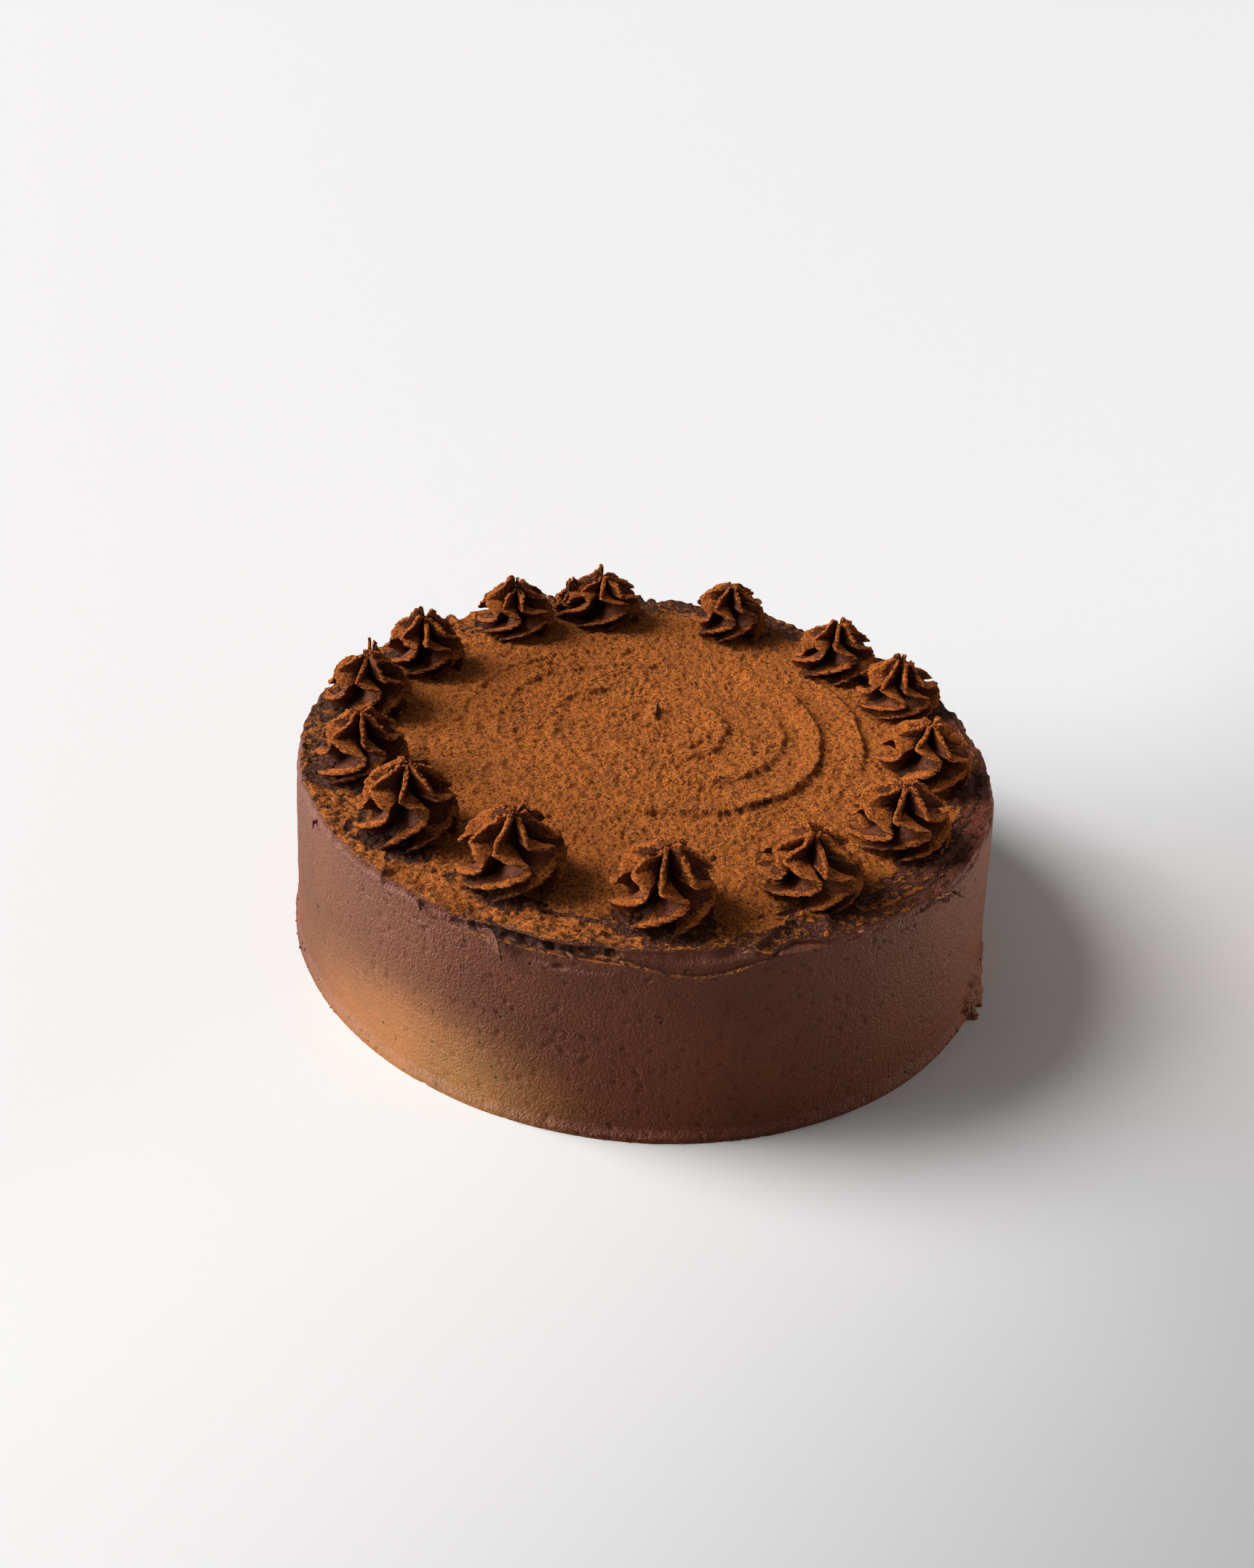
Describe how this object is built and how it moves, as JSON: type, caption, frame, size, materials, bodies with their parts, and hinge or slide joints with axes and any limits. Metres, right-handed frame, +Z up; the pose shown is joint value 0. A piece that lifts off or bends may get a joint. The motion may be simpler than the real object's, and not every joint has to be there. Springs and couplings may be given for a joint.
{
  "type": "chocolate cake",
  "caption": "Round uncut chocolate layer cake with smooth ganache sides, a cocoa-dusted top with a spiral knife mark, and a ring of piped rosettes round the edge.",
  "frame": {"origin": "centre of the cake's flat base", "axes": "+Z up out of the top, -Y towards the front, where the top frosting has come away from the side above a small ledge"},
  "size_m": [0.2101, 0.21, 0.0743],
  "materials": {
    "frosting": "matt",
    "piped_frosting": "satin"
  },
  "bodies": {
    "root": {"cake": "frosting", "rosette_01": "piped_frosting", "rosette_02": "piped_frosting", "rosette_03": "piped_frosting", "rosette_04": "piped_frosting", "rosette_05": "piped_frosting", "rosette_06": "piped_frosting", "rosette_07": "piped_frosting", "rosette_08": "piped_frosting", "rosette_09": "piped_frosting", "rosette_10": "piped_frosting", "rosette_11": "piped_frosting", "rosette_12": "piped_frosting", "rosette_13": "piped_frosting", "rosette_14": "piped_frosting"}
  },
  "joints": []
}
